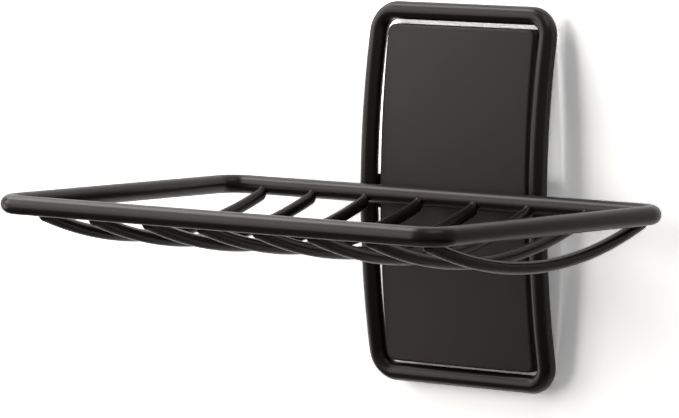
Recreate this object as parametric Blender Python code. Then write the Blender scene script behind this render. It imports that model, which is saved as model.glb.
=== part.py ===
"""Wire soap dish on an adhesive wall plate.

A level tray of round wire stands out from an upright, bowed frame of wire. A flat strap across
the back of the frame lies in a slot of the mounting plate, and a foam pad holds the plate to the
wall.

The wall is the plane Y = 0, the dish reaches out along -Y, +X is to the right for someone who faces
the wall, and +Z is up. The origin is the middle of the pad's back face. All lengths are in metres.
"""

import math

import bmesh
import bpy

# Gaps that serve every piece
TOUCH_GAP = 0.0003            # left between two pieces that are welded, bonded or resting on each other
OVERRUN = 0.0020              # how far a cutter runs past what it cuts

# Tray rim: one closed loop of thick wire
RIM_LENGTH = 0.1334           # along the wall, over the wire
RIM_DEPTH = 0.0827            # out from the wall, over the wire
RIM_WIRE = 0.0044             # wire diameter
RIM_BEND_RADIUS = 0.0052      # of the wire's centre line

# Basket wires: the tray's sagging floor
BASKET_WIRE_COUNT = 8
BASKET_WIRE = 0.0028          # wire diameter
BASKET_SAG = 0.0082           # of a wire's centre line, below its own ends
BASKET_LEFT_GAP = 0.0074      # between the rim's left side and the first wire
BASKET_RIGHT_GAP = 0.0004     # between the rim's right side and the last wire
END_DROP_SHARE = 0.47         # of the rim wire's radius: a basket wire's end below the rim's middle
END_REACH_SHARE = 0.36        # of the rim wire's radius: a basket wire's end short of the rim's middle

# Back frame: one closed loop of wire, bowed away from the wall
FRAME_WIDTH = 0.0548          # over the wire
FRAME_HEIGHT = 0.0890         # over the wire
FRAME_WIRE = 0.0041           # wire diameter
FRAME_BEND_RADIUS = 0.0050    # of the wire's centre line
FRAME_BOW = 0.0044            # of the side wires' middle, in front of the top and bottom wires
FRAME_WALL_GAP = 0.0006       # between the wall and the top and bottom wires

# Strap: a flat bar welded across the back of the frame's side wires
STRAP_HEIGHT = 0.0080
STRAP_THICKNESS = 0.0010
STRAP_CORNER_RADIUS = 0.0010

# Mounting plate: flat back, bowed face
PLATE_SIDE_GAP = 0.0017       # to each side wire of the frame
PLATE_END_GAP = 0.0012        # to the frame's top and bottom wires
PLATE_END_SETBACK_SHARE = 0.09      # of the frame wire: the face's ends behind the wire's front
PLATE_MIDDLE_SETBACK_SHARE = 0.44   # of the frame wire: the face's middle behind the wire's front
PLATE_CORNER_RADIUS = 0.0012
PLATE_EDGE_ROUND_SHARE = 0.42       # of the corner radius: rounding between the face and the sides

# Adhesive pad
PAD_THICKNESS = 0.0010
PAD_INSET = 0.0020            # of the pad's outline, inside the plate's
PAD_CORNER_RADIUS = 0.0012

# Fineness of the faceted solids
CORNER_STEPS = 6              # facets round a quarter bend
ROUND_STEPS = 3               # facets across the plate's rounded edge
BOW_STEPS = 12                # facets along a bowed side
SAG_STEPS = 14                # facets along a basket wire
RIM_BEVEL_RESOLUTION = 8      # 20 sides round the wire
FRAME_BEVEL_RESOLUTION = 7    # 18 sides
BASKET_BEVEL_RESOLUTION = 4   # 12 sides
SMOOTH_ANGLE = math.radians(35)

# Places worked out from the sizes above
FRAME_LOOP_HALF_HEIGHT = (FRAME_HEIGHT - FRAME_WIRE) / 2
FRAME_END_Y = -(FRAME_WALL_GAP + FRAME_WIRE / 2)
FRAME_MIDDLE_Y = FRAME_END_Y - FRAME_BOW
STRAP_FRONT_Y = FRAME_MIDDLE_Y + FRAME_WIRE / 2 + TOUCH_GAP
TRAY_BACK_RAIL_Y = FRAME_MIDDLE_Y - (FRAME_WIRE + RIM_WIRE) / 2 - TOUCH_GAP
TRAY_Y = TRAY_BACK_RAIL_Y - (RIM_DEPTH - RIM_WIRE) / 2
PLATE_WIDTH = FRAME_WIDTH - 2 * (FRAME_WIRE + PLATE_SIDE_GAP)
PLATE_HEIGHT = FRAME_HEIGHT - 2 * (FRAME_WIRE + PLATE_END_GAP)
PLATE_BACK_Y = -(PAD_THICKNESS + TOUCH_GAP)
PLATE_EDGE_Y = FRAME_END_Y - (0.5 - PLATE_END_SETBACK_SHARE) * FRAME_WIRE
PLATE_MIDDLE_Y = FRAME_MIDDLE_Y - (0.5 - PLATE_MIDDLE_SETBACK_SHARE) * FRAME_WIRE
PLATE_EDGE_ROUND = PLATE_EDGE_ROUND_SHARE * PLATE_CORNER_RADIUS

# Colours, as linear red, green and blue
DARK_BRONZE = (0.026, 0.022, 0.021)
BROWN_BRONZE = (0.052, 0.040, 0.037)
FOAM_WHITE = (0.72, 0.72, 0.70)


def clear_scene():
    """Remove every object that the file holds."""
    for scene_object in list(bpy.data.objects):
        bpy.data.objects.remove(scene_object, do_unlink=True)


def principled(name, colour, roughness, metallic):
    """A new Principled BSDF material."""
    material = bpy.data.materials.new(name)
    material.use_nodes = True
    shader = material.node_tree.nodes["Principled BSDF"]
    shader.inputs["Base Color"].default_value = (*colour, 1.0)
    shader.inputs["Roughness"].default_value = roughness
    shader.inputs["Metallic"].default_value = metallic
    return material


def coated_metal(name):
    """The dark satin coat of the wire work."""
    return principled(f"{name}_coat", DARK_BRONZE, roughness=0.42, metallic=0.6)


def place(name, mesh, parent, location, material):
    """A named object that shows the mesh, under its parent empty."""
    mesh.shade_smooth()
    mesh.set_sharp_from_angle(angle=SMOOTH_ANGLE)
    piece = bpy.data.objects.new(name, mesh)
    bpy.context.collection.objects.link(piece)
    piece.parent = parent
    piece.location = location
    piece.data.materials.append(material)
    return piece


def empty_at(name, location):
    """An empty that carries a group of pieces."""
    group = bpy.data.objects.new(name, None)
    bpy.context.collection.objects.link(group)
    group.location = location
    return group


def as_cutter(piece):
    """Mark a piece as a guide that only cuts others."""
    piece.hide_render = True
    piece.display_type = "WIRE"
    return piece


def cut(piece, cutter):
    """Take the cutter's shape out of the piece."""
    modifier = piece.modifiers.new(f"cut_by_{cutter.name}", "BOOLEAN")
    modifier.operation = "DIFFERENCE"
    modifier.solver = "EXACT"
    modifier.object = cutter


def side_points(across, start, end, steps):
    """Points that cut an upright side into steps, without its two ends."""
    return [(across, start + (end - start) * step / steps) for step in range(1, steps)]


def rounded_rectangle(width, height, radius, side_steps=1):
    """Closed outline of a rectangle with round corners.

    It starts at the top of the right side and runs over the top. The two upright sides are cut into
    side_steps, so that they can follow a bow.
    """
    half_width = width / 2 - radius
    half_height = height / 2 - radius
    corners = ((half_width, half_height), (-half_width, half_height),
               (-half_width, -half_height), (half_width, -half_height))
    outline = []
    for quarter, (centre_across, centre_up) in enumerate(corners):
        for step in range(CORNER_STEPS + 1):
            angle = (quarter + step / CORNER_STEPS) * math.pi / 2
            outline.append((centre_across + radius * math.cos(angle),
                            centre_up + radius * math.sin(angle)))
        if quarter == 1:
            outline += side_points(-width / 2, half_height, -half_height, side_steps)
        if quarter == 3:
            outline += side_points(width / 2, -half_height, half_height, side_steps)
    return outline


def wire_mesh(name, points, diameter, bevel_resolution, closed):
    """Mesh of a round wire along the points, with flat ends unless it is a closed loop."""
    curve = bpy.data.curves.new(name, "CURVE")
    curve.dimensions = "3D"
    curve.bevel_depth = diameter / 2
    curve.bevel_resolution = bevel_resolution
    curve.use_fill_caps = not closed
    spline = curve.splines.new("POLY")
    spline.points.add(len(points) - 1)
    for spline_point, point in zip(spline.points, points):
        spline_point.co = (*point, 1.0)
    spline.use_cyclic_u = closed
    guide = bpy.data.objects.new(name, curve)
    bpy.context.collection.objects.link(guide)
    mesh = bpy.data.meshes.new_from_object(guide.evaluated_get(bpy.context.evaluated_depsgraph_get()))
    bpy.data.objects.remove(guide, do_unlink=True)
    mesh.name = name
    return mesh


def prism_mesh(name, outline, back_y, front_y):
    """Mesh of an outline in X and Z, pushed through from back_y to front_y."""
    shape = bmesh.new()
    back = shape.faces.new([shape.verts.new((across, back_y, up)) for across, up in outline])
    pushed = bmesh.ops.extrude_face_region(shape, geom=[back])
    front = [part for part in pushed["geom"] if isinstance(part, bmesh.types.BMVert)]
    bmesh.ops.translate(shape, verts=front, vec=(0, front_y - back_y, 0))
    return finish_mesh(name, shape)


def finish_mesh(name, shape):
    """Turn every face outward and store the shape as a mesh."""
    bmesh.ops.recalc_face_normals(shape, faces=shape.faces)
    mesh = bpy.data.meshes.new(name)
    shape.to_mesh(mesh)
    shape.free()
    return mesh


def frame_y(height):
    """Distance from the wall, as Y, of the frame's centre line at a height: a shallow parabola."""
    share = height / FRAME_LOOP_HALF_HEIGHT
    return FRAME_END_Y - FRAME_BOW * (1 - share ** 2)


def plate_face_y(height):
    """Y of the plate's bowed face at a height."""
    share = 2 * height / PLATE_HEIGHT
    return PLATE_MIDDLE_Y + (PLATE_EDGE_Y - PLATE_MIDDLE_Y) * share ** 2


def rim_half_depth_at(across):
    """Half the depth of the rim's centre line, at a distance along the wall from its middle."""
    straight_half_length = (RIM_LENGTH - RIM_WIRE) / 2 - RIM_BEND_RADIUS
    straight_half_depth = (RIM_DEPTH - RIM_WIRE) / 2 - RIM_BEND_RADIUS
    into_bend = min(max(abs(across) - straight_half_length, 0), RIM_BEND_RADIUS)
    return straight_half_depth + math.sqrt(RIM_BEND_RADIUS ** 2 - into_bend ** 2)


def rim_loop():
    """Centre line of the tray rim, level, about the tray's own middle."""
    outline = rounded_rectangle(RIM_LENGTH - RIM_WIRE, RIM_DEPTH - RIM_WIRE, RIM_BEND_RADIUS)
    return [(across, out, 0) for across, out in outline]


def basket_line(across):
    """Centre line of one basket wire: a parabola that sags between the front and back rails."""
    half_depth = rim_half_depth_at(across)
    end_drop = END_DROP_SHARE * RIM_WIRE / 2
    reach = half_depth - END_REACH_SHARE * RIM_WIRE / 2
    line = []
    for step in range(SAG_STEPS + 1):
        out = reach * (2 * step / SAG_STEPS - 1)
        line.append((across, out, -end_drop - BASKET_SAG * (1 - (out / half_depth) ** 2)))
    return line


def build_tray_rim(tray):
    """The thick wire round the tray."""
    mesh = wire_mesh("tray_rim", rim_loop(), RIM_WIRE, RIM_BEVEL_RESOLUTION, closed=True)
    place("tray_rim", mesh, tray, (0, 0, 0), coated_metal("tray_rim"))


def build_rim_clearance(tray):
    """Cutter that keeps the basket wires' ends off the rim by the touch gap."""
    mesh = wire_mesh("rim_clearance", rim_loop(), RIM_WIRE + 2 * TOUCH_GAP, RIM_BEVEL_RESOLUTION,
                     closed=True)
    return as_cutter(place("rim_clearance", mesh, tray, (0, 0, 0), coated_metal("rim_clearance")))


def build_basket(tray):
    """The thin wires across the tray, each coped to the rim that it is welded to."""
    clearance = build_rim_clearance(tray)
    rim_inside = RIM_LENGTH / 2 - RIM_WIRE
    first = -(rim_inside - BASKET_LEFT_GAP - BASKET_WIRE / 2)
    last = rim_inside - BASKET_RIGHT_GAP - BASKET_WIRE / 2
    for index in range(BASKET_WIRE_COUNT):
        name = f"basket_wire_{index + 1}"
        across = first + (last - first) * index / (BASKET_WIRE_COUNT - 1)
        mesh = wire_mesh(name, basket_line(across), BASKET_WIRE, BASKET_BEVEL_RESOLUTION, closed=False)
        cut(place(name, mesh, tray, (0, 0, 0), coated_metal(name)), clearance)


def build_back_frame(wall):
    """The bowed loop of wire round the plate."""
    outline = rounded_rectangle(FRAME_WIDTH - FRAME_WIRE, 2 * FRAME_LOOP_HALF_HEIGHT,
                                FRAME_BEND_RADIUS, BOW_STEPS)
    loop = [(across, frame_y(up), up) for across, up in outline]
    mesh = wire_mesh("back_frame", loop, FRAME_WIRE, FRAME_BEVEL_RESOLUTION, closed=True)
    place("back_frame", mesh, wall, (0, 0, 0), coated_metal("back_frame"))


def build_frame_strap(wall):
    """The flat bar that joins the frame's side wires behind the plate."""
    outline = rounded_rectangle(FRAME_WIDTH - FRAME_WIRE, STRAP_HEIGHT, STRAP_CORNER_RADIUS)
    mesh = prism_mesh("frame_strap", outline, STRAP_THICKNESS, 0)
    place("frame_strap", mesh, wall, (0, STRAP_FRONT_Y, 0), coated_metal("frame_strap"))


def plate_ring(shape, inset, sink):
    """One ring of the plate's outline, drawn in by inset and sunk below the bowed face by sink."""
    outline = rounded_rectangle(PLATE_WIDTH - 2 * inset, PLATE_HEIGHT - 2 * inset,
                                PLATE_CORNER_RADIUS - inset, BOW_STEPS)
    return [shape.verts.new((across, plate_face_y(up) + sink, up)) for across, up in outline]


def build_mounting_plate(wall):
    """The plate: flat back, straight sides, rounded edge, bowed face and a slot for the strap."""
    shape = bmesh.new()
    outline = rounded_rectangle(PLATE_WIDTH, PLATE_HEIGHT, PLATE_CORNER_RADIUS, BOW_STEPS)
    rings = [[shape.verts.new((across, PLATE_BACK_Y, up)) for across, up in outline]]
    for step in range(ROUND_STEPS + 1):
        angle = step / ROUND_STEPS * math.pi / 2
        inset = PLATE_EDGE_ROUND * (1 - math.cos(angle))
        rings.append(plate_ring(shape, inset, PLATE_EDGE_ROUND * (1 - math.sin(angle))))
    count = len(outline)
    for lower, upper in zip(rings, rings[1:]):
        for index in range(count):
            following = (index + 1) % count
            shape.faces.new((lower[index], lower[following], upper[following], upper[index]))
    shape.faces.new(rings[0])
    # The face is strips from the right side to the left, because its two sides bow alike
    face = rings[-1]
    left_top = 2 * CORNER_STEPS + 1
    for index in range(-(count - left_top) // 2 + 1, CORNER_STEPS):
        strip = (index, index + 1, left_top - index - 1, left_top - index)
        shape.faces.new([face[corner % count] for corner in strip])
    mesh = finish_mesh("mounting_plate", shape)
    plate = place("mounting_plate", mesh, wall, (0, 0, 0),
                  principled("mounting_plate_coat", BROWN_BRONZE, roughness=0.48, metallic=0.4))
    cut(plate, build_strap_slot(wall))


def build_strap_slot(wall):
    """Cutter for the slot across the plate's back, open at both sides of the plate."""
    slot_height = STRAP_HEIGHT + 2 * TOUCH_GAP
    outline = rounded_rectangle(PLATE_WIDTH + 2 * OVERRUN, slot_height, STRAP_CORNER_RADIUS)
    mesh = prism_mesh("strap_slot", outline, PLATE_BACK_Y + OVERRUN, STRAP_FRONT_Y - TOUCH_GAP)
    return as_cutter(place("strap_slot", mesh, wall, (0, 0, 0), coated_metal("strap_slot")))


def build_adhesive_pad(wall):
    """The foam pad between the plate and the wall."""
    outline = rounded_rectangle(PLATE_WIDTH - 2 * PAD_INSET, PLATE_HEIGHT - 2 * PAD_INSET,
                                PAD_CORNER_RADIUS)
    mesh = prism_mesh("adhesive_pad", outline, 0, -PAD_THICKNESS)
    place("adhesive_pad", mesh, wall, (0, 0, 0),
          principled("adhesive_pad_foam", FOAM_WHITE, roughness=0.9, metallic=0.0))


def main():
    """Build the soap dish."""
    clear_scene()
    wall = empty_at("wall_group", (0, 0, 0))
    build_adhesive_pad(wall)
    build_mounting_plate(wall)
    build_frame_strap(wall)
    build_back_frame(wall)
    tray = empty_at("tray_group", (0, TRAY_Y, 0))
    build_tray_rim(tray)
    build_basket(tray)


main()
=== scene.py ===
"""Looks of a wire soap dish on an adhesive wall plate.

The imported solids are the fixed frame. Round wires, welds, the bowed plate and the foam pad are worked
out as numpy surfaces in the same place, and dressed with procedural finishes. All lengths are metres.
The wall is the plane Y = 0, the dish reaches out along -Y and +Z is up.
"""

import logging
import math
from collections.abc import Sequence
from dataclasses import dataclass, field
from enum import Enum
from functools import cache

import bmesh
import bpy
import numpy as np
import numpy.typing as npt
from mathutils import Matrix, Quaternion, Vector


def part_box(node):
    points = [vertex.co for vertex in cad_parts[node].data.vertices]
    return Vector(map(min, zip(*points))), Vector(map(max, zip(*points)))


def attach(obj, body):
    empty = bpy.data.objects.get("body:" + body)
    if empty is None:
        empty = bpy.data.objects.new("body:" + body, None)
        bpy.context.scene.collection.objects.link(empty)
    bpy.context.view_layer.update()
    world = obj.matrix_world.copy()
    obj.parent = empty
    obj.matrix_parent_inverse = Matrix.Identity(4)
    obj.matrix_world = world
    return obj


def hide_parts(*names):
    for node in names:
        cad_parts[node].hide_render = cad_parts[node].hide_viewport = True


Array = npt.NDArray[np.float64]
Colour = tuple[float, float, float]
Point = tuple[float, float, float]
Material = bpy.types.Material
Socket = bpy.types.NodeSocket

LOG = logging.getLogger("soap_dish")
BODY = "root"
FULL_TURN = 2 * math.pi
WHITE: Colour = (1.0, 1.0, 1.0)
WARM_WHITE: Colour = (1.0, 0.97, 0.94)
COAT_DARK: Colour = (0.0125, 0.0115, 0.0108)
COAT_WARM: Colour = (0.0165, 0.0145, 0.0132)
MERGE_DISTANCE = 1e-7                # points nearer than this become one
PLACE_DIGITS = 9                     # decimals to which two places count as one
SHARP_ANGLE = math.radians(40)       # edges that bend more stay sharp
BURIED = 0.00003                     # how far a weld or a wire's end runs into the piece it joins
TRACE_STEPS = 40                     # steps from a wire's end to the rim's surface

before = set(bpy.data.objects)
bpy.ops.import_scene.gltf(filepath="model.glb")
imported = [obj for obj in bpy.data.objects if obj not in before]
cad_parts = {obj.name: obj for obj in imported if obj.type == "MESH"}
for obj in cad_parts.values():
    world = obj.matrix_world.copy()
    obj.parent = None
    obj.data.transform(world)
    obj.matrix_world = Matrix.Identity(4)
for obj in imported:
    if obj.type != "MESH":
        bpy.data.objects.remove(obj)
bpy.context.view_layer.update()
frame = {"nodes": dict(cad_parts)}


class Wrap(Enum):
    """Which of a grid's two directions close on themselves, as (rows, columns)."""

    SHEET = (False, False)
    TUBE = (False, True)
    RING = (True, True)


class Slot(Enum):
    """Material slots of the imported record."""

    WIRE = "wire_coat"
    PLATE = "plate_coat"
    PAD = "pad_foam"


def unit(vectors: Array) -> Array:
    """Vectors of length one, each divided by its own length."""
    return vectors / np.linalg.norm(vectors, axis=-1, keepdims=True)


def direction(azimuth: float, elevation: float) -> Vector:
    """Unit direction turned from -Y towards +X by azimuth and raised by elevation, in degrees."""
    turn, rise = math.radians(azimuth), math.radians(elevation)
    return Vector((math.sin(turn) * math.cos(rise), -math.cos(turn) * math.cos(rise), math.sin(rise)))


def place(name: str, data: bpy.types.ID) -> bpy.types.Object:
    """Put an object in the scene.

    Args:
        name: Its name.
        data: Its mesh, lamp or camera.

    Returns:
        The object, at the origin.
    """
    thing = bpy.data.objects.new(name, data)
    bpy.context.scene.collection.objects.link(thing)
    return thing


def stand_off(thing: bpy.types.Object, target: Point, back: Vector, distance: float) -> None:
    """Stand a lamp or camera at target + back * distance and face it at the target."""
    thing.location = Vector(target) + back * distance
    thing.rotation_mode = "QUATERNION"
    thing.rotation_quaternion = (-back).to_track_quat("-Z", "Y")


def corners_of(node: str) -> tuple[Array, Array]:
    """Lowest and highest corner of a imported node."""
    low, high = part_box(node)
    return np.array(low), np.array(high)


def rounded_loop(half_width: float, half_height: float, radius: float,
                 corner_steps: int, side_steps: int) -> Array:
    """Closed outline of a rounded rectangle, counterclockwise from the top of its right side.

    Each corner is a quarter circle about a centre that lies one radius in from both sides, and the
    straight line to the next corner is cut evenly.

    Args:
        half_width: Half the outline's width.
        half_height: Half its height.
        radius: Radius of the corners.
        corner_steps: Steps round each corner.
        side_steps: Steps along each straight side.

    Returns:
        The outline's points, one a row.
    """
    centres = np.array([(1, 1), (-1, 1), (-1, -1), (1, -1)]) * (half_width - radius, half_height - radius)
    turn = (np.arange(4)[:, None] + np.linspace(0, 1, corner_steps + 1)) * math.pi / 2
    corners = centres[:, None] + radius * np.stack((np.cos(turn), np.sin(turn)), axis=-1)
    start, end = corners[:, -1], np.roll(corners[:, 0], -1, axis=0)
    share = np.linspace(0, 1, side_steps + 1)[1:-1, None]
    sides = start[:, None] + share * (end - start)[:, None]
    return np.concatenate((corners, sides), axis=1).reshape(-1, 2)


def ring_axes(path: Array, side: Point, closed: bool) -> tuple[Array, Array, Array]:
    """Tangents of a path and two axes square to them.

    A tangent runs from the point before to the point after. The first axis is side less its part
    along the tangent, and the second is the tangent crossed with the first.

    Args:
        path: Points of the path, one a row.
        side: A direction that is never along the path.
        closed: Whether the path's end joins its start.

    Returns:
        Tangents, first axes and second axes.
    """
    if closed:
        tangents = unit(np.roll(path, -1, axis=0) - np.roll(path, 1, axis=0))
    else:
        tangents = unit(np.gradient(path, axis=0))
    lean = np.array(side) - (tangents @ np.array(side))[:, None] * tangents
    first = unit(lean)
    return tangents, first, np.cross(tangents, first)


def tube_grid(path: Array, radius: float, side: Point, sides: int, closed: bool) -> Array:
    """Rings of a round tube: path + radius * (cos(a) * first axis + sin(a) * second axis).

    Args:
        path: Centre line, one point a row.
        radius: Radius of the tube.
        side: A direction that is never along the path.
        sides: Points round each ring.
        closed: Whether the path's end joins its start.

    Returns:
        A grid of points, one ring a row.
    """
    _, first, second = ring_axes(path, side, closed)
    angle = np.arange(sides) / sides * FULL_TURN
    around = np.cos(angle)[:, None] * first[:, None] + np.sin(angle)[:, None] * second[:, None]
    return path[:, None] + radius * around


@dataclass
class Shell:
    """Grids and flat faces that are sewn into one closed piece."""

    name: str
    points: list[Array] = field(default_factory=list)
    faces: list[list[int]] = field(default_factory=list)

    def _take(self, points: Array) -> int:
        """Store points and return the index of the first."""
        self.points.append(points.reshape(-1, 3))
        return sum(len(stored) for stored in self.points[:-1])

    def add_grid(self, grid: Array, wrap: Wrap) -> None:
        """Add a grid of points and the quads between its neighbours.

        Args:
            grid: Points in rows and columns.
            wrap: Which directions close on themselves.
        """
        rows, columns = grid.shape[:2]
        index = self._take(grid) + np.arange(rows * columns).reshape(rows, columns)
        wrap_rows, wrap_columns = wrap.value
        if wrap_rows:
            index = np.concatenate((index, index[:1]), axis=0)
        if wrap_columns:
            index = np.concatenate((index, index[:, :1]), axis=1)
        quads = np.stack((index[:-1, :-1], index[:-1, 1:], index[1:, 1:], index[1:, :-1]), axis=-1)
        self.faces += quads.reshape(-1, 4).tolist()

    def add_face(self, points: Array) -> None:
        """Add one flat face with these corners."""
        first = self._take(points)
        self.faces.append(list(range(first, first + len(points))))

    def sew(self, slot: Slot, material: Material, replaced: Sequence[str] = ()) -> bpy.types.Object:
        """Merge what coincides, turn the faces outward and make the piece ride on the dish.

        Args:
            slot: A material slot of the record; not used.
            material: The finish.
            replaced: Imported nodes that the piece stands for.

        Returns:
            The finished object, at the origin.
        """
        mesh = bpy.data.meshes.new(self.name)
        mesh.from_pydata(np.concatenate(self.points), [], self.faces)
        sewn = bmesh.new()
        sewn.from_mesh(mesh)
        bmesh.ops.remove_doubles(sewn, verts=sewn.verts, dist=MERGE_DISTANCE)
        bmesh.ops.dissolve_degenerate(sewn, edges=sewn.edges, dist=MERGE_DISTANCE)
        bmesh.ops.recalc_face_normals(sewn, faces=sewn.faces)
        sewn.to_mesh(mesh)
        sewn.free()
        mesh.shade_smooth()
        mesh.set_sharp_from_angle(angle=SHARP_ANGLE)
        mesh.materials.append(material)
        piece = place(self.name, mesh)
        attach(piece, BODY)
        if replaced:
            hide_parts(*replaced)
        stands_for = ", ".join(replaced) or "no node"
        LOG.info("%s: %d faces, stands for %s", self.name, len(mesh.polygons), stands_for)
        return piece


@dataclass(frozen=True)
class Board:
    """A material's or a world's node tree, with short ways to add to it."""

    owner: Material | bpy.types.World

    @classmethod
    def named(cls, name: str) -> "Board":
        """Make a material that holds only its Principled shader and output.

        Args:
            name: The material's name.

        Returns:
            Its board.
        """
        material = bpy.data.materials.new(name)
        material.use_nodes = True
        return cls(material)

    @property
    def shader(self) -> bpy.types.Node:
        """The Principled shader."""
        return self.owner.node_tree.nodes["Principled BSDF"]

    def add(self, kind: str, **values: object) -> bpy.types.Node:
        """Add a node and set its properties.

        Args:
            kind: Blender's name for the node.
            values: Properties to set on it.

        Returns:
            The new node.
        """
        node = self.owner.node_tree.nodes.new(kind)
        for name, value in values.items():
            setattr(node, name, value)
        return node

    def link(self, source: Socket, target: Socket) -> None:
        """Join an output to an input."""
        self.owner.node_tree.links.new(source, target)

    def object_point(self) -> Socket:
        """Place on the piece, in metres."""
        return self.add("ShaderNodeTexCoord").outputs["Object"]

    def noise(self, point: Socket, size: float, detail: float = 2.0, rough: float = 0.5) -> Socket:
        """Noise from 0 to 1 whose features are about size across.

        Args:
            point: Place to read it at.
            size: Size of a feature, in metres.
            detail: Octaves of finer noise.
            rough: Share that each octave keeps of the one before.

        Returns:
            The noise's value.
        """
        node = self.add("ShaderNodeTexNoise")
        node.inputs["Scale"].default_value = 1 / size
        node.inputs["Detail"].default_value = detail
        node.inputs["Roughness"].default_value = rough
        self.link(point, node.inputs["Vector"])
        return node.outputs["Fac"]

    def spread(self, value: Socket, low: float, high: float,
               start: float = 0.3, end: float = 0.7) -> Socket:
        """Map a value between start and end onto low to high, without going past them.

        Args:
            value: The value.
            low: Result at start.
            high: Result at end.
            start: Value that gives low.
            end: Value that gives high.

        Returns:
            low + (high - low) * (value - start) / (end - start), held between low and high.
        """
        node = self.add("ShaderNodeMapRange")
        for name, number in (("From Min", start), ("From Max", end), ("To Min", low), ("To Max", high)):
            node.inputs[name].default_value = number
        self.link(value, node.inputs["Value"])
        return node.outputs["Result"]

    def between(self, share: Socket, first: Colour, second: Colour) -> Socket:
        """Blend two colours.

        Args:
            share: The second colour's share.
            first: Colour at 0.
            second: Colour at 1.

        Returns:
            (1 - share) * first + share * second.
        """
        node = self.add("ShaderNodeMix", data_type="RGBA")
        for socket, colour in zip(node.inputs[6:8], (first, second)):
            socket.default_value = (*colour, 1.0)
        self.link(share, node.inputs[0])
        return node.outputs[2]

    def mixed(self, share: Socket, first: Socket, second: Socket) -> Socket:
        """Blend two shaders.

        Args:
            share: The second shader's share.
            first: Shader at 0.
            second: Shader at 1.

        Returns:
            The blended shader.
        """
        node = self.add("ShaderNodeMixShader")
        for socket, source in zip(node.inputs, (share, first, second)):
            self.link(source, socket)
        return node.outputs[0]

    def maths(self, operation: str, *values: Socket | float) -> Socket:
        """Work out a sum, product or the like.

        Args:
            operation: Blender's name for it.
            values: Sockets or numbers that it takes.

        Returns:
            Its result.
        """
        node = self.add("ShaderNodeMath", operation=operation)
        for socket, value in zip(node.inputs, values):
            if isinstance(value, Socket):
                self.link(value, socket)
            else:
                socket.default_value = value
        return node.outputs[0]

    def looked_at(self) -> Socket:
        """Tell how the surface is met.

        Returns:
            One where the camera, a reflection or clear glass shows it, else zero.
        """
        path = self.add("ShaderNodeLightPath")
        seen = self.maths("MAXIMUM", path.outputs["Is Camera Ray"], path.outputs["Is Glossy Ray"])
        return self.maths("MAXIMUM", seen, path.outputs["Is Transmission Ray"])

    def bump(self, height: Socket, depth: float, normal: Socket | None = None) -> Socket:
        """Bend the surface normal by a relief.

        Args:
            height: The relief, from 0 to 1.
            depth: Metres that 1 stands for.
            normal: Normal to start from, else the surface's own.

        Returns:
            The bent normal.
        """
        node = self.add("ShaderNodeBump")
        node.inputs["Strength"].default_value = 1.0
        node.inputs["Distance"].default_value = depth
        self.link(height, node.inputs["Height"])
        if normal is not None:
            self.link(normal, node.inputs["Normal"])
        return node.outputs["Normal"]


@dataclass(frozen=True)
class SatinCoat:
    """Dark baked coat on steel: faint mottling, soft orange peel and fine grit, duller seen edge-on."""

    name: str
    dark: Colour
    warm: Colour
    roughness: tuple[float, float]
    specular: float
    tint: Colour = (1.0, 0.90, 0.89)     # colour of the gloss
    mottle_size: float = 0.011
    peel_size: float = 0.0013
    peel_depth: float = 0.000006
    grit_size: float = 0.00022
    grit_depth: float = 0.0000016
    edge_start: float = 0.55             # share of edge-on view from which it grows rougher
    edge_roughness: float = 0.06         # roughness that is added fully edge-on

    @cache
    def material(self) -> Material:
        """The finish's material, built once."""
        board = Board.named(self.name)
        point = board.object_point()
        mottle = board.noise(point, self.mottle_size, detail=4.0, rough=0.6)
        peel = board.noise(point, self.peel_size, detail=1.0)
        grit = board.noise(point, self.grit_size, detail=2.0)
        board.link(board.between(board.spread(mottle, 0.0, 1.0), self.dark, self.warm),
                   board.shader.inputs["Base Color"])
        edge = board.add("ShaderNodeLayerWeight").outputs["Facing"]
        dulled = board.spread(edge, 0.0, self.edge_roughness, self.edge_start, 1.0)
        grained = board.spread(grit, *self.roughness)
        board.link(board.maths("ADD", grained, dulled), board.shader.inputs["Roughness"])
        normal = board.bump(grit, self.grit_depth, board.bump(peel, self.peel_depth))
        board.link(normal, board.shader.inputs["Normal"])
        board.shader.inputs["Specular IOR Level"].default_value = self.specular
        board.shader.inputs["Specular Tint"].default_value = (*self.tint, 1.0)
        return board.owner


@dataclass(frozen=True)
class FoamSkin:
    """Closed-cell foam: pale, matte, with small round cells."""

    name: str
    pale: Colour
    shade: Colour
    cell_size: float = 0.00035
    cell_depth: float = 0.00006
    roughness: float = 0.85

    @cache
    def material(self) -> Material:
        """The finish's material, built once."""
        board = Board.named(self.name)
        point = board.object_point()
        cells = board.add("ShaderNodeTexVoronoi", feature="SMOOTH_F1")
        cells.inputs["Scale"].default_value = 1 / self.cell_size
        board.link(point, cells.inputs["Vector"])
        share = board.spread(cells.outputs["Distance"], 0.0, 1.0, start=0.1, end=0.8)
        board.link(board.between(share, self.pale, self.shade), board.shader.inputs["Base Color"])
        board.link(board.bump(share, self.cell_depth), board.shader.inputs["Normal"])
        board.shader.inputs["Roughness"].default_value = self.roughness
        return board.owner


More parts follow.
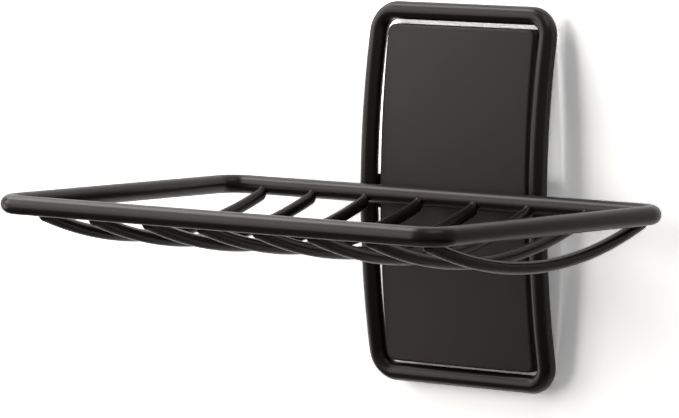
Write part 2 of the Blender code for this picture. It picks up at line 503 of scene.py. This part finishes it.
@dataclass(frozen=True)
class AdhesiveFilm:
    """Thin clear glue on a pale carrier: smooth, faintly streaked."""

    name: str
    pale: Colour
    shade: Colour
    streak_size: float = 0.004
    streak_stretch: float = 0.12         # scale along Z, which draws the streaks out that way
    streak_depth: float = 0.00002
    roughness: tuple[float, float] = (0.28, 0.42)

    @cache
    def material(self) -> Material:
        """The finish's material, built once."""
        board = Board.named(self.name)
        stretch = board.add("ShaderNodeMapping")
        stretch.inputs["Scale"].default_value = (1.0, 1.0, self.streak_stretch)
        board.link(board.object_point(), stretch.inputs["Vector"])
        streaks = board.noise(stretch.outputs["Vector"], self.streak_size, detail=3.0)
        board.link(board.between(board.spread(streaks, 0.0, 1.0), self.pale, self.shade),
                   board.shader.inputs["Base Color"])
        board.link(board.spread(streaks, *self.roughness), board.shader.inputs["Roughness"])
        board.link(board.bump(streaks, self.streak_depth), board.shader.inputs["Normal"])
        return board.owner


@dataclass(frozen=True)
class Finishes:
    """The dish's finishes. A coat's are its dark and warm colour, roughness and gloss."""

    wire: SatinCoat = SatinCoat("satin_bronze_black", COAT_DARK, COAT_WARM, (0.27, 0.34), 0.26)
    thin_wire: SatinCoat = SatinCoat("satin_bronze_black_thin", COAT_DARK, COAT_WARM, (0.20, 0.26), 0.17)
    weld: SatinCoat = SatinCoat("satin_bronze_black_weld", COAT_DARK, COAT_WARM, (0.38, 0.50), 0.26,
                                peel_size=0.0006, peel_depth=0.00002)
    plate: SatinCoat = SatinCoat("matte_brown_bronze", (0.0400, 0.0325, 0.0315), (0.0460, 0.0365, 0.0350),
                                 (0.46, 0.54), 0.2, tint=WHITE, mottle_size=0.02, peel_size=0.0009,
                                 peel_depth=0.000003, edge_roughness=0.28)
    foam: FoamSkin = FoamSkin("white_foam", (0.74, 0.74, 0.72), (0.60, 0.60, 0.58))
    film: AdhesiveFilm = AdhesiveFilm("adhesive_film", (0.74, 0.73, 0.68), (0.66, 0.65, 0.60))


def shut_ends(grid: Array) -> Array:
    """The grid with one more row at each end, drawn together in that end's middle."""
    poles = np.repeat(grid[[0, -1]].mean(axis=1, keepdims=True), grid.shape[1], axis=1)
    return np.concatenate((poles[:1], grid, poles[1:]), axis=0)


@dataclass(frozen=True)
class WireBack:
    """One side of a straight wire, or of a flat bar, as a height along Y."""

    middle: float                        # Y of its axis
    radius: float                        # 0 for a flat bar
    facing: int                          # 1 for the side towards +Y, -1 for the other
    along_x: bool                        # else it runs along Z

    def depth(self, across: Array, up: Array) -> Array:
        """Height of the surface, a little below it: middle +- sqrt(radius^2 - offset^2).

        Args:
            across: Offsets along X.
            up: Offsets along Z.

        Returns:
            Y of the surface at each offset.
        """
        offset = up if self.along_x else across
        bulge = np.sqrt(np.maximum(self.radius ** 2 - offset ** 2, 0)) if self.radius else 0 * offset
        return self.middle + self.facing * (bulge - BURIED)


def saddle_grid(centre: tuple[float, float], spread: tuple[float, float], near: WireBack, far: WireBack,
                waist: float, rings: int = 9, sides: int = 32) -> Array:
    """Weld between two surfaces that face each other along Y.

    Ring t of t = 0 to 1 is the ellipse x = a w cos(u), z = b w sin(u), where w = 1 - waist * sin(pi t),
    and its height is y = (1 - t) * near(x, z) + t * far(x, z), so its ends lie in the two surfaces.

    Args:
        centre: X and Z of the weld's middle.
        spread: Half its width along X and along Z.
        near: Surface at the first ring.
        far: Surface at the last ring.
        waist: How much the middle draws in, as a share.
        rings: Rings from one surface to the other.
        sides: Points round each ring.

    Returns:
        A grid of points whose first and last rows are shut by a point.
    """
    share = np.linspace(0, 1, rings)[:, None]
    angle = np.arange(sides) / sides * FULL_TURN
    width = 1 - waist * np.sin(math.pi * share)
    across = spread[0] * width * np.cos(angle)
    up = spread[1] * width * np.sin(angle)
    depth = (1 - share) * near.depth(across, up) + share * far.depth(across, up)
    grid = np.stack((centre[0] + across, depth, centre[1] + up), axis=-1)
    return shut_ends(grid)


@dataclass
class BackFrame:
    """The bowed loop of wire round the plate, and the strap behind it."""

    finishes: Finishes
    bend_radius: float = 0.0050
    coat: float = 0.00008                # thickness of the coat on the wire
    strap_corner: float = 0.0010
    strap_round: float = 0.00028
    weld_half_width: float = 0.00055
    weld_half_height: float = 0.0030
    weld_waist_share: float = 0.2        # how much a weld's middle draws in
    corner_steps: int = 20
    side_steps: int = 44
    wire_sides: int = 40

    def __post_init__(self) -> None:
        """Read the wire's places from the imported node."""
        low, high = corners_of("back_frame")
        strap_low, strap_high = corners_of("frame_strap")
        self.half_width, self.half_height = (high[0] - low[0]) / 2, (high[2] - low[2]) / 2
        self.radius = self.half_width - strap_high[0]
        self.end_y, self.middle_y = high[1] - self.radius, low[1] + self.radius
        self.strap = (strap_low, strap_high)

    def centre_line(self) -> Array:
        """Trace the loop: a rounded rectangle, bowed by y = end - bow * (1 - (z / half)^2).

        Returns:
            Its centre line, one point a row.
        """
        half_width = self.half_width - self.radius
        half_height = self.half_height - self.radius - self.coat
        outline = rounded_loop(half_width, half_height, self.bend_radius, self.corner_steps, self.side_steps)
        bow = self.end_y - self.middle_y
        depth = self.end_y - bow * (1 - (outline[:, 1] / half_height) ** 2)
        return np.stack((outline[:, 0], depth, outline[:, 1]), axis=-1)

    def build_wire(self) -> None:
        """The loop itself."""
        shell = Shell("frame_wire")
        radius = self.radius + self.coat
        shell.add_grid(tube_grid(self.centre_line(), radius, (0, 1, 0), self.wire_sides, True), Wrap.RING)
        shell.sew(Slot.WIRE, self.finishes.wire.material(), ["back_frame"])

    def build_strap(self) -> None:
        """The flat strap, its edges rounded by quarter circles."""
        shell = Slab(*self.strap, self.strap_corner, self.strap_round).shell("strap_bar")
        shell.sew(Slot.WIRE, self.finishes.wire.material(), ["frame_strap"])

    def build_strap_welds(self) -> None:
        """The two welds between the strap and the side wires."""
        low, high = self.strap
        shell = Shell("strap_welds")
        wire = WireBack(self.middle_y, self.radius, 1, along_x=False)
        bar = WireBack(low[1], 0.0, -1, along_x=False)
        for side in (-1, 1):
            centre = (side * (high[0] - self.weld_half_width), (low[2] + high[2]) / 2)
            spread = (self.weld_half_width, self.weld_half_height)
            shell.add_grid(saddle_grid(centre, spread, wire, bar, self.weld_waist_share), Wrap.TUBE)
        shell.sew(Slot.WIRE, self.finishes.weld.material())

    def build(self) -> None:
        """Build the frame's pieces."""
        self.build_wire()
        self.build_strap()
        self.build_strap_welds()


@dataclass
class Slab:
    """A flat bar with rounded corners and edges, its flat sides square to Y."""

    low: Array
    high: Array
    corner: float
    edge_round: float
    corner_steps: int = 10
    round_steps: int = 5

    def shell(self, name: str) -> Shell:
        """Make the bar: outline rings carried over its edges, then a flat face on each side.

        Ring by ring the outline is drawn in by edge_round * (1 - sin(a)) while Y runs from the back
        face over a quarter circle, along the side and over another quarter circle to the front face.

        Args:
            name: The piece's name.

        Returns:
            The bar, ready to be sewn.
        """
        middle, half = (self.low + self.high) / 2, (self.high - self.low) / 2
        turn = np.linspace(0, math.pi / 2, self.round_steps + 1)
        inset = self.edge_round * (1 - np.sin(turn))
        fall = self.edge_round * (1 - np.cos(turn))
        insets = np.concatenate((inset, inset[::-1]))
        depths = np.concatenate((self.high[1] - fall, (self.low[1] + fall)[::-1]))
        outlines = np.stack([rounded_loop(half[0] - step, half[2] - step, self.corner - step,
                                          self.corner_steps, 1) for step in insets])
        grid = np.stack((middle[0] + outlines[..., 0], np.broadcast_to(depths[:, None], outlines.shape[:2]),
                         middle[2] + outlines[..., 1]), axis=-1)
        bar = Shell(name)
        bar.add_grid(grid, Wrap.TUBE)
        bar.add_face(grid[0])
        bar.add_face(grid[-1])
        return bar


@dataclass
class WallPlate:
    """The mounting plate and the adhesive pad behind it."""

    finishes: Finishes
    corner_radius: float = 0.0019
    edge_round: float = 0.0005
    slot_gap: float = 0.0003
    film_thickness: float = 0.00012
    pad_corner: float = 0.0012
    foam_round: float = 0.00006
    film_round: float = 0.00004
    rows: int = 56
    columns: int = 24
    edge_steps: int = 8
    end_setback_share: float = 0.18      # of the frame wire's radius, the face's ends behind its front
    crown: float = 0.0008                # how far the face's middle line stands out from its sides
    side_reach: float = 0.0004           # how far the coated plate reaches past its node's sides
    lower_reach: float = 0.00035         # and past its lower end

    def __post_init__(self) -> None:
        """Read the plate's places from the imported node."""
        low, high = corners_of("mounting_plate")
        low, high = low - (self.side_reach, 0, self.lower_reach), high + (self.side_reach, 0, 0)
        self.half_width, self.half_height = (high[0] - low[0]) / 2, (high[2] - low[2]) / 2
        self.middle_z = (low[2] + high[2]) / 2
        self.back_y, self.middle_y = high[1], low[1]
        _, wire_high = corners_of("back_frame")
        strap_low, strap_high = corners_of("frame_strap")
        self.slot_half, self.slot_y = strap_high[2] + self.slot_gap, strap_low[1] - self.slot_gap
        wire_radius = wire_high[0] - strap_high[0]
        self.end_y = wire_high[1] - (2 - self.end_setback_share) * wire_radius

    def steps_to_edge(self, half: float, middle_steps: int) -> Array:
        """Places from -half to half, close together near both ends.

        The last stretch at each end follows r * (1 - sin(a)) from the edge, so that the steps fit a
        corner or an edge round, and the middle is even.

        Args:
            half: Distance from the middle to either edge.
            middle_steps: Steps along the even middle.

        Returns:
            The places, rising.
        """
        reach = self.corner_radius
        turn = np.linspace(0, math.pi / 2, self.edge_steps + 1)
        near_edge = half - reach * (1 - np.sin(turn[::-1]))
        middle = np.linspace(-(half - reach), half - reach, middle_steps + 1)
        places = np.concatenate((-near_edge, middle, near_edge))
        return np.unique(np.round(places, PLACE_DIGITS))

    def half_width_at(self, up: Array) -> Array:
        """Half the plate's width at a height, less where a corner turns in."""
        into = np.clip(np.abs(up) - (self.half_height - self.corner_radius), 0, self.corner_radius)
        return self.half_width - self.corner_radius + np.sqrt(self.corner_radius ** 2 - into ** 2)

    def face_y(self, across: Array, up: Array) -> Array:
        """Y of the bowed face: middle + bow * (z / half height)^2 - crown * (1 - (x / half width)^2)."""
        bow = (self.end_y - self.middle_y) * (up / self.half_height) ** 2
        return self.middle_y + bow - self.crown * (1 - (across / self.half_width) ** 2)

    def edge_drop(self, across: Array, up: Array) -> Array:
        """How far the edge round takes the face back: r - sqrt(r^2 - (r - d)^2), d from the outline.

        Args:
            across: Places along X.
            up: Places along Z, about the plate's middle.

        Returns:
            One length for each place.
        """
        past = np.abs(np.stack((across, up), axis=-1))
        past -= (self.half_width - self.corner_radius, self.half_height - self.corner_radius)
        inside = self.corner_radius - np.linalg.norm(np.maximum(past, 0), axis=-1)
        inside -= np.minimum(past.max(axis=-1), 0)
        depth = self.edge_round - np.clip(inside, 0, self.edge_round)
        return self.edge_round - np.sqrt(np.maximum(self.edge_round ** 2 - depth ** 2, 0))

    def build_plate(self) -> None:
        """The plate: face, four sides, back and the slot for the strap."""
        up = self.steps_to_edge(self.half_height, self.rows)
        slot = np.array((-self.slot_half, self.slot_half)) - self.middle_z
        up = np.unique(np.concatenate((up, slot)))
        shares = self.steps_to_edge(self.half_width, self.columns) / self.half_width
        heights = np.repeat(up[:, None], len(shares), axis=1)
        across = self.half_width_at(heights) * shares
        face = self.face_y(across, heights) + self.edge_drop(across, heights)
        front = np.stack((across, face, heights + self.middle_z), axis=-1)
        inside = (up >= slot[0]) & (up <= slot[1])
        back_y = np.where(inside, self.slot_y, self.back_y)
        edge = np.searchsorted(up, slot)
        order = np.sort(np.concatenate((np.arange(len(up)), edge)))
        back_up, back_depth = up[order], back_y[order]
        first, last = np.searchsorted(order, edge)
        back_depth[first] = back_depth[last + 1] = self.back_y
        back_heights = np.repeat(back_up[:, None], len(shares), axis=1)
        back = np.stack((self.half_width_at(back_heights) * shares,
                         np.repeat(back_depth[:, None], len(shares), axis=1), back_heights + self.middle_z),
                        axis=-1)
        shell = Shell("plate_body")
        shell.add_grid(front, Wrap.SHEET)
        shell.add_grid(back, Wrap.SHEET)
        for column in (0, -1):
            shell.add_face(np.concatenate((front[:, column], back[::-1, column])))
        for row in (0, -1):
            shell.add_grid(np.stack((front[row], back[row])), Wrap.SHEET)
        shell.sew(Slot.PLATE, self.finishes.plate.material(), ["mounting_plate"])

    def build_pad(self) -> None:
        """The foam pad, and its glue films on the wall's side and on the plate's side."""
        low, high = corners_of("adhesive_pad")
        film = np.array((0, self.film_thickness, 0))
        foam = Slab(low, high - film, self.pad_corner, self.foam_round).shell("pad_foam_core")
        core = foam.sew(Slot.PAD, self.finishes.foam.material(), ["adhesive_pad"])
        films = {"pad_wall_film": ((low[0], high[1] - self.film_thickness, low[2]), high),
                 "pad_plate_film": ((low[0], self.back_y, low[2]), (high[0], low[1], high[2]))}
        for name, corners in films.items():
            glue = Slab(*map(np.array, corners), self.pad_corner, self.film_round).shell(name)
            glue.sew(Slot.PAD, self.finishes.film.material())

    def build(self) -> None:
        """Build the plate and the pad."""
        self.build_plate()
        self.build_pad()


@dataclass
class Tray:
    """The rim, the wires that sag between its rails, and the welds to the back frame."""

    finishes: Finishes
    frame: BackFrame
    bend_radius: float = 0.0052
    wire_count: int = 8
    sag: float = 0.0082
    end_drop_share: float = 0.47         # of the rim wire's radius
    straight_end: float = 0.0040         # length of a wire's straight end
    coat: float = 0.00005                # thickness of the coat on a wire
    # how far each wire stands towards +X of its even place, and how much more it sags
    side_shifts: tuple[float, ...] = (0.00035, -0.00035, -0.00025, -0.0003, 0.0, -0.0003, 0.00025, 0.0003)
    sag_shifts: tuple[float, ...] = (-0.00025, 0.0, 0.0001, -0.00025, -0.0002, 0.0001, 0.0, 0.0)
    end_round: float = 0.0014            # length over which a wire's end rounds up below
    end_setback: float = 0.0020          # how far it stays short of the rail's axis
    end_narrow: float = 0.0008           # how far its sides draw in there
    fillet: float = 0.00045              # how far a weld flares at the rim
    fillet_reach: float = 0.00050        # length over which the flare fades
    weld_half_width: float = 0.00125
    weld_waist_share: float = 0.12       # how much a weld's middle draws in
    corner_steps: int = 24
    side_steps: int = 12
    rim_sides: int = 44
    wire_sides: int = 32
    wire_steps: int = 64
    end_steps: int = 16

    def __post_init__(self) -> None:
        """Read the rim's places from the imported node."""
        low, high = corners_of("tray_rim")
        self.middle = (low + high) / 2
        self.radius = (high[2] - low[2]) / 2
        self.half_length, self.half_depth = (high - low)[:2] / 2 - self.radius

    def build_rim(self) -> None:
        """The rim: a tube round a level rounded rectangle."""
        outline = rounded_loop(self.half_length, self.half_depth, self.bend_radius,
                               self.corner_steps, self.side_steps)
        path = self.middle + np.pad(outline, ((0, 0), (0, 1)))
        shell = Shell("rim_wire")
        shell.add_grid(tube_grid(path, self.radius, (0, 0, 1), self.rim_sides, True), Wrap.RING)
        shell.sew(Slot.WIRE, self.finishes.wire.material(), ["tray_rim"])

    def clearance(self, points: Array) -> Array:
        """Distance from points to the rim's surface, less than zero inside it.

        In plan it is the distance to the rounded rectangle of the rim's centre line, then the
        hypotenuse of that and the height, less the wire's radius.

        Args:
            points: Points in the dish's frame.

        Returns:
            One distance for each point.
        """
        local = points - self.middle
        past = np.abs(local[..., :2]) - (np.array((self.half_length, self.half_depth)) - self.bend_radius)
        plan = np.linalg.norm(np.maximum(past, 0), axis=-1) + np.minimum(past.max(axis=-1), 0)
        return np.hypot(plan - self.bend_radius, local[..., 2]) - self.radius

    def wire_line(self, across: float, sag: float, out: Array) -> Array:
        """Centre line of a wire: z = -drop - sag * (1 - s^2), where s is 1 at the rails.

        Args:
            across: X of the wire.
            sag: How far its middle hangs below its ends.
            out: Y of each point, about the tray's middle.

        Returns:
            The points, one a row.
        """
        share = out / self.half_depth
        up = -self.end_drop_share * self.radius - sag * (1 - share ** 2)
        local = np.stack((np.full_like(out, across), out, up), axis=-1)
        return local + np.array((0, self.middle[1], self.middle[2]))

    def wire_end(self, centre: Array, ahead: Array, around: Array, radius: float) -> Array:
        """Rings from a wire's straight end to the rim, with a fillet that flares where they meet.

        A straight line leaves each point of the first ring, drawn out by the flare w, and is followed
        to the rim by steps as long as the clearance left, but no further than setback before the
        rail's axis. Ring s then lies at s times that length, and its radius is more by
        w * exp(-(length left) / reach). w fades from full on top to none at the sides. Below, the
        wire's end is round: with p = 1 - sqrt(1 - t^2), where t grows from 0 to 1 along the last
        stretch end_round, the sides are drawn in by end_narrow * p and what stopped under the rail
        is raised to it by gap * p.

        Args:
            centre: Middle of the first ring.
            ahead: Direction towards the rim.
            around: Unit directions from the middle to the ring's points.
            radius: Radius of the wire.

        Returns:
            A grid of rings, the last one in the rim's surface.
        """
        top = np.maximum(around[:, 2], 0)
        flare = self.fillet * top
        start = centre + (radius + flare)[:, None] * around
        rail = self.middle + (0, math.copysign(self.half_depth, ahead[1]), 0)
        to_rail = (rail - start) * (0, 1, 1)
        passing = to_rail @ ahead - self.end_setback
        length = np.zeros(len(around))
        for _ in range(TRACE_STEPS):
            length = np.minimum(length + self.clearance(start + length[:, None] * ahead) + BURIED, passing)
        below = start + length[:, None] * ahead - rail
        under = below[:, 2] + np.sqrt(np.maximum(self.radius ** 2 - below[:, 1] ** 2, 0))
        gap = np.maximum(BURIED - under, 0) * (below[:, 2] < 0)
        share = 1 - (1 - np.linspace(0, 1, self.end_steps + 1)[1:, None]) ** 2
        travel = share * length
        near = np.exp((travel - length) / self.fillet_reach)[..., None]
        tip = np.clip(1 - (length - travel) / self.end_round, 0, 1)
        rounding = (1 - np.sqrt(1 - tip ** 2))[..., None]
        width = radius + flare[:, None] * near - self.end_narrow * (1 - top)[:, None] * rounding
        rise = gap[:, None] * rounding * (0, 0, 1)
        return centre + travel[..., None] * ahead + width * around + rise

    def build_wire(self, number: int) -> None:
        """One wire of the floor, welded to both rails.

        Args:
            number: The wire's number, from the left.
        """
        node = f"basket_wire_{number}"
        low, high = corners_of(node)
        radius = (high[0] - low[0]) / 2 + self.coat
        across = (low[0] + high[0]) / 2 + self.side_shifts[number - 1]
        sag = self.sag + self.sag_shifts[number - 1]
        reach = (high[1] - low[1]) / 2 - self.straight_end
        line = self.wire_line(across, sag, np.linspace(-reach, reach, self.wire_steps + 1))
        tangents, _, _ = ring_axes(line, (1, 0, 0), False)
        middle = tube_grid(line, radius, (1, 0, 0), self.wire_sides, False)
        start = self.wire_end(line[0], -tangents[0], unit(middle[0] - line[0]), radius)
        end = self.wire_end(line[-1], tangents[-1], unit(middle[-1] - line[-1]), radius)
        shell = Shell(f"floor_wire_{number}")
        shell.add_grid(shut_ends(np.concatenate((start[::-1], middle, end))), Wrap.TUBE)
        shell.sew(Slot.WIRE, self.finishes.thin_wire.material(), [node])

    def build_welds(self) -> None:
        """The two welds where the rim's back rail crosses the frame's side wires."""
        shell = Shell("rim_welds")
        side_wire = WireBack(self.frame.middle_y, self.frame.radius, -1, along_x=False)
        rail = WireBack(self.middle[1] + self.half_depth, self.radius, 1, along_x=True)
        for side in (-1, 1):
            centre = (side * (self.frame.half_width - self.frame.radius), self.middle[2])
            spread = (self.weld_half_width, self.weld_half_width)
            shell.add_grid(saddle_grid(centre, spread, side_wire, rail, self.weld_waist_share), Wrap.TUBE)
        shell.sew(Slot.WIRE, self.finishes.weld.material())

    def build(self) -> None:
        """Build the tray's pieces."""
        self.build_rim()
        for number in range(1, self.wire_count + 1):
            self.build_wire(number)
        self.build_welds()


@dataclass(frozen=True)
class Softbox:
    """A rectangular area lamp that faces the dish."""

    name: str
    azimuth: float                       # degrees from -Y towards -X
    elevation: float                     # degrees
    width: float
    height: float
    radiance: float
    colour: Colour = WHITE
    distance: float = 2.2
    target: Point = (0.0, -0.045, 0.0)

    def hang(self) -> None:
        """Hang the lamp off its target by azimuth and elevation. Its power is radiance * pi * area."""
        lamp = bpy.data.lights.new(self.name, "AREA")
        lamp.shape = "RECTANGLE"
        lamp.size, lamp.size_y = self.width, self.height
        lamp.energy = self.radiance * math.pi * self.width * self.height
        lamp.color = self.colour
        holder = place(self.name, lamp)
        stand_off(holder, self.target, direction(-self.azimuth, self.elevation), self.distance)


@dataclass(frozen=True)
class PaintedWallShading:
    """A soft-edged rectangle of the wall with painted shade (factor below 1) or painted light (factor above
    1).
    """

    middle: tuple[float, float]          # X and Z
    half: tuple[float, float]            # half its width and half its height
    soft: float                          # half the width of its fading edge
    factor: float                        # its brightness, times the wall's: below 1 painted shade, above 1 painted light

    def brightness(self, board: Board) -> Socket:
        """One away from the patch and the factor inside it: 1 + (factor - 1) * across * up.

        Args:
            board: The wall's material.

        Returns:
            The brightness.
        """
        split = board.add("ShaderNodeSeparateXYZ")
        board.link(board.object_point(), split.inputs["Vector"])
        shares = []
        for axis, middle, half in zip("XZ", self.middle, self.half):
            away = board.maths("ABSOLUTE", board.maths("SUBTRACT", split.outputs[axis], middle))
            shares.append(board.spread(away, 1.0, 0.0, half - self.soft, half + self.soft))
        return board.maths("MULTIPLY_ADD", board.maths("MULTIPLY", *shares), self.factor - 1, 1.0)


@dataclass
class Studio:
    """Camera, lamps, wall and floor round the dish."""

    target: Point = (-0.03743, -0.0038, -0.00514)
    azimuth: float = 41.134              # degrees from -Y towards +X
    elevation: float = 4.893             # degrees
    roll: float = 0.08                   # degrees
    distance: float = 1.33641
    focal_pixels: float = 5673.1         # focal length in pixels of the picture
    picture_width: int = 679
    sensor_width: float = 36.0
    wall_gap: float = 0.0002             # from the pad's back to the wall
    wall_half_width: float = 0.32
    wall_low: float = -0.09
    wall_high: float = 0.60
    wall_colour: Colour = (0.8, 0.8, 0.8)
    wall_boost: float = 3.1              # times brighter where it is looked at
    wall_glow: float = 0.10              # light of its own that is added there
    floor_half: float = 0.8
    floor_z: float = -1.1
    floor_colour: Colour = (0.75, 0.75, 0.75)
    # patches of painted shade and painted light on the wall
    painted_patches: tuple[PaintedWallShading, ...] = (
        # painted shade over the wall's right part, which also darkens what the right rail mirrors
        PaintedWallShading((0.2125, 0.25), (0.12, 0.5), 0.0325, 0.35),
        # painted light behind the plate's upper part, seen through the gap round its top
        PaintedWallShading((-0.002, 0.0245), (0.0285, 0.0195), 0.0015, 2.3),
        # painted shade behind the plate's lower half, seen through the gap there
        PaintedWallShading((-0.0029, -0.0215), (0.0244, 0.0165), 0.0006, 0.1),
    )
    ambient: Colour = (0.03, 0.03, 0.03)
    haze: Colour = (0.30, 0.30, 0.30)    # the pale room where it is looked at
    haze_low: float = -0.38              # the direction's Z where the room begins
    haze_high: float = -0.20             # and where it is complete
    softboxes: tuple[Softbox, ...] = (
        Softbox("key_softbox", 65, 20, 1.0, 1.0, 4.5, WARM_WHITE),
        Softbox("front_left_softbox", 39, 8, 0.75, 1.9, 2.85, WARM_WHITE),
        Softbox("upper_left_softbox", 90, 45, 1.0, 1.0, 5.5),
        Softbox("high_left_softbox", 62, 50, 0.9, 0.9, 3.4, WARM_WHITE),
        Softbox("low_left_softbox", 78, -10, 1.2, 1.0, 1.8, WARM_WHITE),
        Softbox("overhead_softbox", -60, 68, 1.6, 1.6, 2.0),
        Softbox("right_softbox", -60, 12, 1.8, 1.2, 0.15),
    )

    def place_camera(self) -> None:
        """Stand the camera off the target by azimuth and elevation, with its lens from the focal length."""
        data = bpy.data.cameras.new("photo_camera")
        data.sensor_width = self.sensor_width
        data.lens = self.focal_pixels * self.sensor_width / self.picture_width
        camera = place("photo_camera", data)
        stand_off(camera, self.target, direction(self.azimuth, self.elevation), self.distance)
        camera.rotation_quaternion @= Quaternion((0, 0, 1), math.radians(self.roll))
        bpy.context.scene.camera = camera

    def light_world(self) -> None:
        """Even faint light from all round, and a pale room above haze_low where it is looked at.

        The room's share grows from 0 to 1 while the direction's Z goes from haze_low to haze_high.
        """
        world = bpy.data.worlds.new("room_light")
        bpy.context.scene.world = world
        world.use_nodes = True
        board = Board(world)
        rise = board.add("ShaderNodeSeparateXYZ")
        board.link(board.add("ShaderNodeTexCoord").outputs["Generated"], rise.inputs["Vector"])
        share = board.spread(rise.outputs["Z"], 0.0, 1.0, self.haze_low, self.haze_high)
        shown = board.maths("MULTIPLY", share, board.looked_at())
        background = world.node_tree.nodes["Background"]
        board.link(board.between(shown, self.ambient, self.haze), background.inputs["Color"])

    def sheet_material(self, name: str, colour: Colour, boost: float = 1.0, glow: float = 0.0,
                       shaded: bool = False) -> Material:
        """A matte surface, seen only from its front, and paler where it is looked at.

        Args:
            name: The material's name.
            colour: Its own colour.
            boost: Times brighter where the camera, a reflection or clear glass shows it.
            glow: Light of its own that is added there.
            shaded: Whether that brightness changes over the wall's painted shade and painted light.

        Returns:
            The material.
        """
        board = Board.named(name)
        tree = board.owner.node_tree
        tree.nodes.remove(board.shader)
        plain, shown = board.add("ShaderNodeBsdfDiffuse"), board.add("ShaderNodeBsdfDiffuse")
        plain.inputs["Color"].default_value = (*colour, 1.0)
        bright = tuple(part * boost for part in colour)
        shown.inputs["Color"].default_value = (*bright, 1.0)
        if shaded:
            # painted shade and painted light: the patches scale the wall's looked-at colour
            scaled = board.add("ShaderNodeVectorMath", operation="SCALE")
            scaled.inputs[0].default_value = bright
            factor = self.painted_patches[0].brightness(board)
            for patch in self.painted_patches[1:]:
                factor = board.maths("MULTIPLY", factor, patch.brightness(board))
            board.link(factor, scaled.inputs["Scale"])
            board.link(scaled.outputs[0], shown.inputs["Color"])
        own_light, lit = board.add("ShaderNodeEmission"), board.add("ShaderNodeAddShader")
        own_light.inputs["Strength"].default_value = glow
        board.link(shown.outputs[0], lit.inputs[0])
        board.link(own_light.outputs[0], lit.inputs[1])
        matte = board.mixed(board.looked_at(), plain.outputs[0], lit.outputs[0])
        back_side = board.add("ShaderNodeNewGeometry").outputs["Backfacing"]
        clear = board.add("ShaderNodeBsdfTransparent")
        surface = board.mixed(back_side, matte, clear.outputs[0])
        board.link(surface, tree.nodes["Material Output"].inputs["Surface"])
        return board.owner

    def lay_sheet(self, name: str, corners: Array, material: Material) -> bpy.types.Object:
        """Lay a flat sheet of the stage.

        Args:
            name: The sheet's name.
            corners: Its corners, counterclockwise as seen from its front.
            material: Its material.

        Returns:
            The sheet.
        """
        mesh = bpy.data.meshes.new(name)
        mesh.from_pydata(corners, [], [list(range(len(corners)))])
        mesh.materials.append(material)
        sheet = place(name, mesh)
        return sheet

    def build_room(self) -> None:
        """The white wall behind the dish, with its patches of painted shade and painted light, and the pale
        floor far below it.
        """
        half, gap, low, high = self.wall_half_width, self.wall_gap, self.wall_low, self.wall_high
        corners = np.array(((-half, gap, low), (half, gap, low), (half, gap, high), (-half, gap, high)))
        white = self.sheet_material("white_wall", self.wall_colour, self.wall_boost, self.wall_glow, True)
        wall = self.lay_sheet("wall", corners, white)
        wall.visible_diffuse = wall.visible_shadow = False
        corners = np.array(((-1, -1, 0), (1, -1, 0), (1, 1, 0), (-1, 1, 0))) * self.floor_half
        pale = self.sheet_material("pale_floor", self.floor_colour)
        floor_sheet = self.lay_sheet("floor", corners + (0, 0, self.floor_z), pale)
        floor_sheet.visible_shadow = False

    def build(self) -> None:
        """Set up the whole studio."""
        self.place_camera()
        self.light_world()
        for softbox in self.softboxes:
            softbox.hang()
        self.build_room()
        bpy.context.scene.view_settings.view_transform = "Standard"


def main() -> None:
    """Build the dish and its studio."""
    logging.basicConfig(level=logging.INFO, format="%(name)s %(message)s")
    finishes = Finishes()
    back_frame = BackFrame(finishes)
    back_frame.build()
    WallPlate(finishes).build()
    Tray(finishes, back_frame).build()
    Studio().build()


if __name__ == "__main__":
    main()
